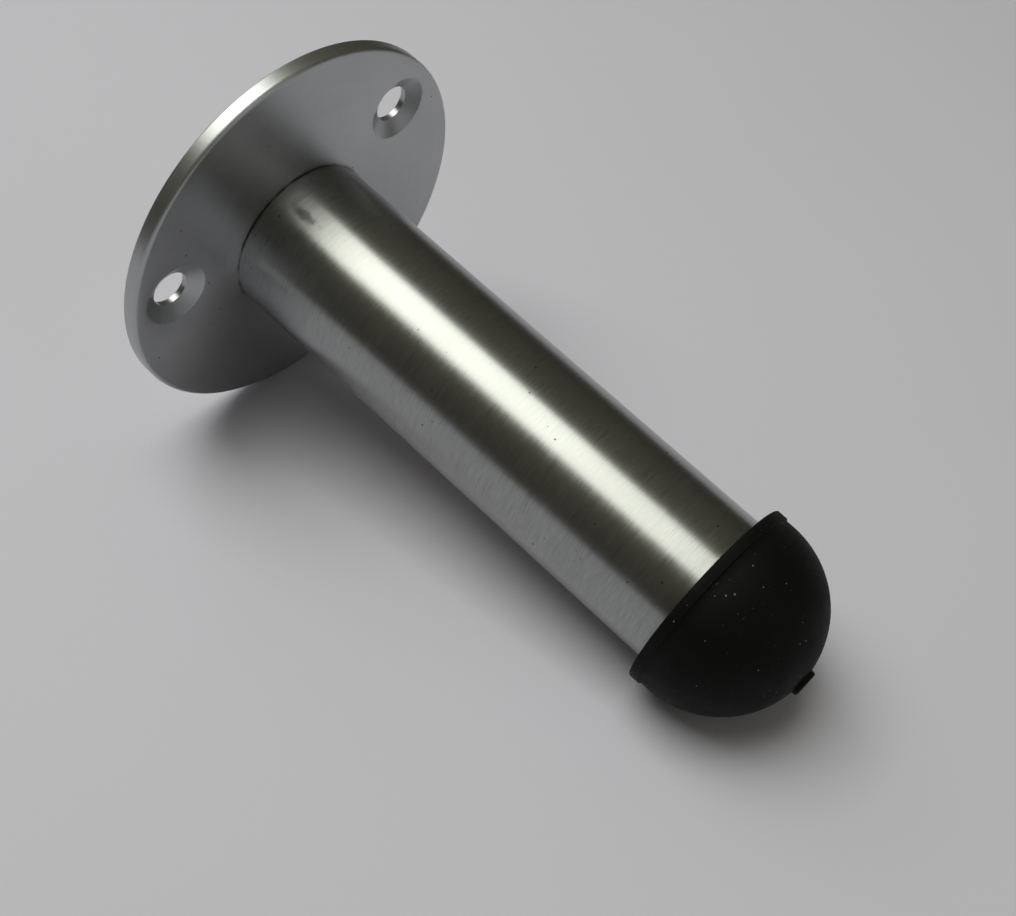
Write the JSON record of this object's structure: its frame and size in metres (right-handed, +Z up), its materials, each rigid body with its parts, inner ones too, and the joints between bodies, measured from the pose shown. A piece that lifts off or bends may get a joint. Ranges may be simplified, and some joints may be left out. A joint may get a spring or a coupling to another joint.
{
  "type": "projection door stop",
  "caption": "Wall-mounted projection door stop: a flat round rose for countersunk wall screws, a straight tubular post and a domed rubber buffer that meets the opening door.",
  "frame": {"origin": "centre of the rose's back face, where the part meets the wall", "axes": "+X out of the wall along the post towards the door, +Z up, +Y to the right for someone facing the wall"},
  "size_m": [0.0667, 0.04, 0.04],
  "materials": {
    "satin_chrome": "satin, fine grain round the post",
    "brass": "as turned",
    "zinc_steel": "bright zinc plated",
    "black_rubber": "matte, as moulded"
  },
  "bodies": {
    "root": {"rose": "satin_chrome", "tube": "satin_chrome", "base_plug": "brass", "centre_screw": "zinc_steel", "buffer": "black_rubber"}
  },
  "joints": []
}
